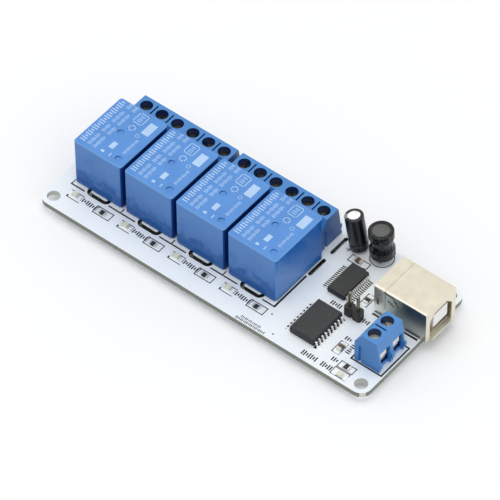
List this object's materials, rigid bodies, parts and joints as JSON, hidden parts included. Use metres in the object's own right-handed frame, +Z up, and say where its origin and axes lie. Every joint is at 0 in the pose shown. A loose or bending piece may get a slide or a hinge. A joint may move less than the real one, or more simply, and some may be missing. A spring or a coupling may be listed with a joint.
{
  "type": "relay module board",
  "caption": "Circuit board with a row of blue relays, screw terminals behind them and a data socket at one end.",
  "frame": {"origin": "middle of the four mounting holes, on the board's underside", "axes": "+X along the board towards the data socket, +Y towards the row of wire terminals, +Z up"},
  "size_m": [0.1067, 0.042, 0.0188],
  "materials": {
    "board": "white solder resist, satin",
    "relay_cover": "satin blue",
    "relay_base": "matte dark blue",
    "relay_iron": "plated iron",
    "relay_bobbin": "matte",
    "relay_copper": "enamelled copper",
    "relay_contact_alloy": "tinned",
    "terminal_plastic": "satin blue",
    "plated_clamp": "bright plated",
    "plated_screw": "bright plated",
    "socket_steel": "nickel plated",
    "socket_plastic": "matte off-white",
    "socket_contact_alloy": "gold flash",
    "can_aluminium": "drawn",
    "capacitor_film": "gloss dark film",
    "tinned_lead": "tinned",
    "ferrite": "sintered grey",
    "winding_wire": "enamelled copper",
    "shrink_sleeve": "gloss black",
    "chip_epoxy": "matte dark grey",
    "header_plastic": "matte black",
    "header_pin_alloy": "gold flash",
    "led_base": "matte white",
    "led_lens": "clear resin",
    "resistor_ceramic": "matte, tinned ends",
    "capacitor_ceramic": "matte, tinned ends"
  },
  "bodies": {
    "board": {"capacitor_can": "can_aluminium", "capacitor_leads": "tinned_lead", "capacitor_sleeve": "capacitor_film", "ceramic_capacitors": "capacitor_ceramic", "circuit_board": "board", "data_socket_contacts": "socket_contact_alloy", "data_socket_insulator": "socket_plastic", "data_socket_shell": "socket_steel", "driver_chip_body": "chip_epoxy", "driver_chip_leads": "tinned_lead", "indicator_leds": "led_base", "inductor_core": "ferrite", "inductor_leads": "tinned_lead", "inductor_sleeve": "shrink_sleeve", "inductor_winding": "winding_wire", "interface_chip_body": "chip_epoxy", "interface_chip_leads": "tinned_lead", "jumper_header_body": "header_plastic", "jumper_header_pins": "header_pin_alloy", "led_lenses": "led_lens", "power_terminal_block": "terminal_plastic", "power_terminal_clamps": "plated_clamp", "relay_bases": "relay_base", "relay_bobbins": "relay_bobbin", "relay_case_1": "relay_cover", "relay_case_2": "relay_cover", "relay_case_3": "relay_cover", "relay_case_4": "relay_cover", "relay_coils": "relay_copper", "relay_contacts": "relay_contact_alloy", "relay_yokes": "relay_iron", "resistors": "resistor_ceramic", "terminal_block_1": "terminal_plastic", "terminal_block_2": "terminal_plastic", "terminal_block_3": "terminal_plastic", "terminal_block_4": "terminal_plastic", "terminal_clamps_1": "plated_clamp", "terminal_clamps_2": "plated_clamp", "terminal_clamps_3": "plated_clamp", "terminal_clamps_4": "plated_clamp"},
    "terminal_screw_01": {"terminal_screw_01": "plated_screw"},
    "terminal_screw_02": {"terminal_screw_02": "plated_screw"},
    "terminal_screw_03": {"terminal_screw_03": "plated_screw"},
    "terminal_screw_04": {"terminal_screw_04": "plated_screw"},
    "terminal_screw_05": {"terminal_screw_05": "plated_screw"},
    "terminal_screw_06": {"terminal_screw_06": "plated_screw"},
    "terminal_screw_07": {"terminal_screw_07": "plated_screw"},
    "terminal_screw_08": {"terminal_screw_08": "plated_screw"},
    "terminal_screw_09": {"terminal_screw_09": "plated_screw"},
    "terminal_screw_10": {"terminal_screw_10": "plated_screw"},
    "terminal_screw_11": {"terminal_screw_11": "plated_screw"},
    "terminal_screw_12": {"terminal_screw_12": "plated_screw"},
    "power_terminal_screw_1": {"power_terminal_screw_1": "plated_screw"},
    "power_terminal_screw_2": {"power_terminal_screw_2": "plated_screw"},
    "relay_armature_1": {"relay_armature_1": "relay_iron"},
    "relay_armature_2": {"relay_armature_2": "relay_iron"},
    "relay_armature_3": {"relay_armature_3": "relay_iron"},
    "relay_armature_4": {"relay_armature_4": "relay_iron"}
  },
  "joints": [
    {"name": "terminal_screw_01_turn", "type": "hinge", "parent": "board", "child": "terminal_screw_01", "pos_m": [-0.0445, 0.0135, 0.008], "axis": [0, 0, 1], "range_deg": [0, 1440]},
    {"name": "terminal_screw_02_turn", "type": "hinge", "parent": "board", "child": "terminal_screw_02", "pos_m": [-0.03942, 0.0135, 0.008], "axis": [0, 0, 1], "range_deg": [0, 1440]},
    {"name": "terminal_screw_03_turn", "type": "hinge", "parent": "board", "child": "terminal_screw_03", "pos_m": [-0.03434, 0.0135, 0.008], "axis": [0, 0, 1], "range_deg": [0, 1440]},
    {"name": "terminal_screw_04_turn", "type": "hinge", "parent": "board", "child": "terminal_screw_04", "pos_m": [-0.02926, 0.0135, 0.008], "axis": [0, 0, 1], "range_deg": [0, 1440]},
    {"name": "terminal_screw_05_turn", "type": "hinge", "parent": "board", "child": "terminal_screw_05", "pos_m": [-0.02418, 0.0135, 0.008], "axis": [0, 0, 1], "range_deg": [0, 1440]},
    {"name": "terminal_screw_06_turn", "type": "hinge", "parent": "board", "child": "terminal_screw_06", "pos_m": [-0.0191, 0.0135, 0.008], "axis": [0, 0, 1], "range_deg": [0, 1440]},
    {"name": "terminal_screw_07_turn", "type": "hinge", "parent": "board", "child": "terminal_screw_07", "pos_m": [-0.01255, 0.0135, 0.008], "axis": [0, 0, 1], "range_deg": [0, 1440]},
    {"name": "terminal_screw_08_turn", "type": "hinge", "parent": "board", "child": "terminal_screw_08", "pos_m": [-0.00747, 0.0135, 0.008], "axis": [0, 0, 1], "range_deg": [0, 1440]},
    {"name": "terminal_screw_09_turn", "type": "hinge", "parent": "board", "child": "terminal_screw_09", "pos_m": [-0.00239, 0.0135, 0.008], "axis": [0, 0, 1], "range_deg": [0, 1440]},
    {"name": "terminal_screw_10_turn", "type": "hinge", "parent": "board", "child": "terminal_screw_10", "pos_m": [0.00269, 0.0135, 0.008], "axis": [0, 0, 1], "range_deg": [0, 1440]},
    {"name": "terminal_screw_11_turn", "type": "hinge", "parent": "board", "child": "terminal_screw_11", "pos_m": [0.00777, 0.0135, 0.008], "axis": [0, 0, 1], "range_deg": [0, 1440]},
    {"name": "terminal_screw_12_turn", "type": "hinge", "parent": "board", "child": "terminal_screw_12", "pos_m": [0.01285, 0.0135, 0.008], "axis": [0, 0, 1], "range_deg": [0, 1440]},
    {"name": "power_terminal_screw_1_turn", "type": "hinge", "parent": "board", "child": "power_terminal_screw_1", "pos_m": [0.04713, -0.00517, 0.008], "axis": [0, 0, 1], "range_deg": [0, 1440]},
    {"name": "power_terminal_screw_2_turn", "type": "hinge", "parent": "board", "child": "power_terminal_screw_2", "pos_m": [0.04713, -0.01025, 0.008], "axis": [0, 0, 1], "range_deg": [0, 1440]},
    {"name": "relay_armature_1_tilt", "type": "hinge", "parent": "board", "child": "relay_armature_1", "pos_m": [-0.04057, -0.00833, 0.01367], "axis": [1, 0, 0], "range_deg": [-2.1, 0], "stiffness_Nm_per_rad": 0.01, "springref_deg": 8.59},
    {"name": "relay_armature_2_tilt", "type": "hinge", "parent": "board", "child": "relay_armature_2", "pos_m": [-0.02401, -0.00833, 0.01367], "axis": [1, 0, 0], "range_deg": [-2.1, 0], "stiffness_Nm_per_rad": 0.01, "springref_deg": 8.59},
    {"name": "relay_armature_3_tilt", "type": "hinge", "parent": "board", "child": "relay_armature_3", "pos_m": [-0.00745, -0.00833, 0.01367], "axis": [1, 0, 0], "range_deg": [-2.1, 0], "stiffness_Nm_per_rad": 0.01, "springref_deg": 8.59},
    {"name": "relay_armature_4_tilt", "type": "hinge", "parent": "board", "child": "relay_armature_4", "pos_m": [0.00911, -0.00833, 0.01367], "axis": [1, 0, 0], "range_deg": [-2.1, 0], "stiffness_Nm_per_rad": 0.01, "springref_deg": 8.59}
  ]
}
